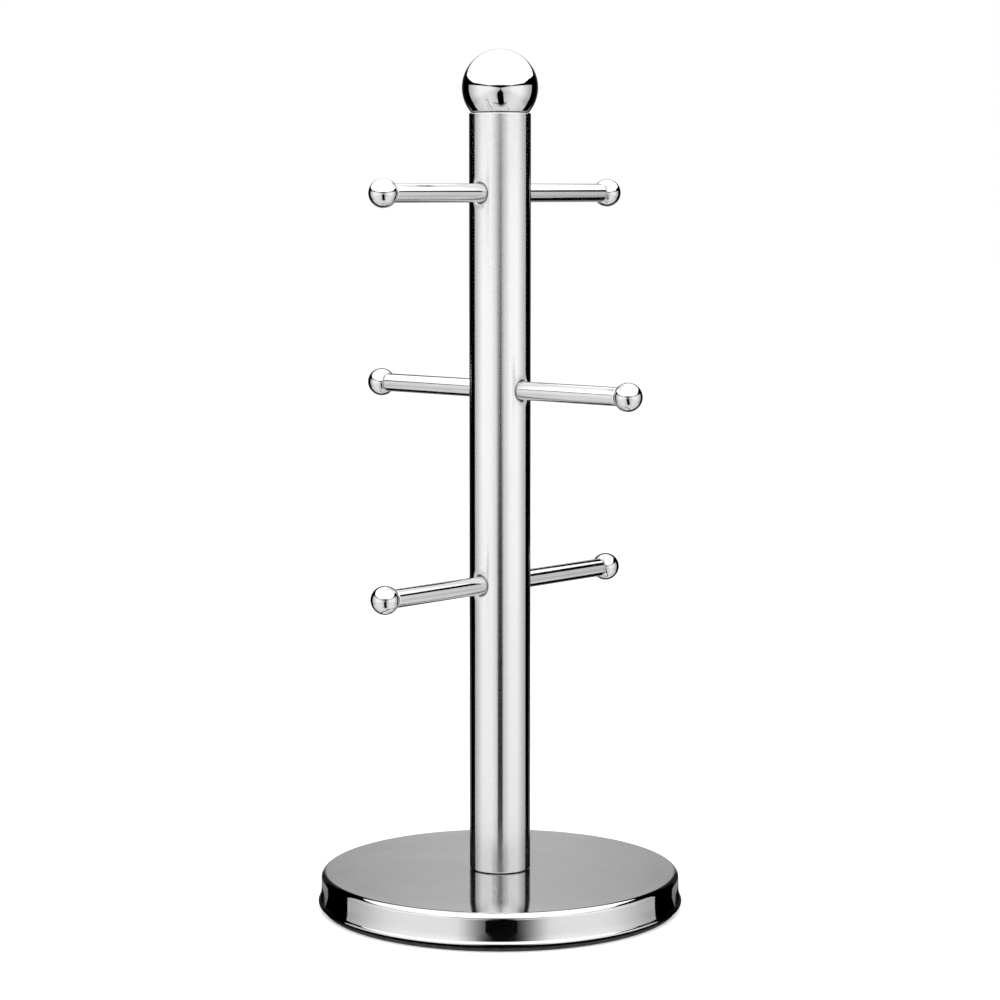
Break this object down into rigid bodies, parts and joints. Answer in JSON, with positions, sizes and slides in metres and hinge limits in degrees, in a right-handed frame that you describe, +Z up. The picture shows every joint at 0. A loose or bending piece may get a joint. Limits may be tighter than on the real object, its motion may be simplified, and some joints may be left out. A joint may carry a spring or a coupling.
{
  "type": "mug tree",
  "caption": "Free-standing steel mug tree: straight arms with ball ends in opposite pairs, crossing by level, on a ball-topped pole over a weighted round base.",
  "frame": {"origin": "on the floor, where the pole's axis meets the foot pad's underside plane", "axes": "+Z up along the pole; the top and bottom pairs of arms lie along X and the middle pair along Y"},
  "size_m": [0.15, 0.15, 0.3505],
  "materials": {
    "brushed_stainless": "satin",
    "polished_stainless": "polished",
    "plated_steel": "satin",
    "cast_iron": "matte",
    "black_plastic": "satin",
    "black_rubber": "matte"
  },
  "bodies": {
    "root": {"foot_pad": "black_rubber", "base_plate": "black_plastic", "base_weight": "cast_iron", "base_cover": "brushed_stainless", "base_bolt": "plated_steel", "flat_washer": "plated_steel", "spring_washer": "plated_steel", "pole_bottom_plug": "plated_steel", "pole_top_plug": "plated_steel", "pole_tube": "brushed_stainless", "finial_stud": "plated_steel", "finial_ball": "polished_stainless", "cross_stud_bottom": "plated_steel", "arm_bottom_left": "polished_stainless", "arm_ball_bottom_left": "polished_stainless", "arm_bottom_right": "polished_stainless", "arm_ball_bottom_right": "polished_stainless", "cross_stud_middle": "plated_steel", "arm_middle_front": "polished_stainless", "arm_ball_middle_front": "polished_stainless", "arm_middle_back": "polished_stainless", "arm_ball_middle_back": "polished_stainless", "cross_stud_top": "plated_steel", "arm_top_left": "polished_stainless", "arm_ball_top_left": "polished_stainless", "arm_top_right": "polished_stainless", "arm_ball_top_right": "polished_stainless"}
  },
  "joints": []
}
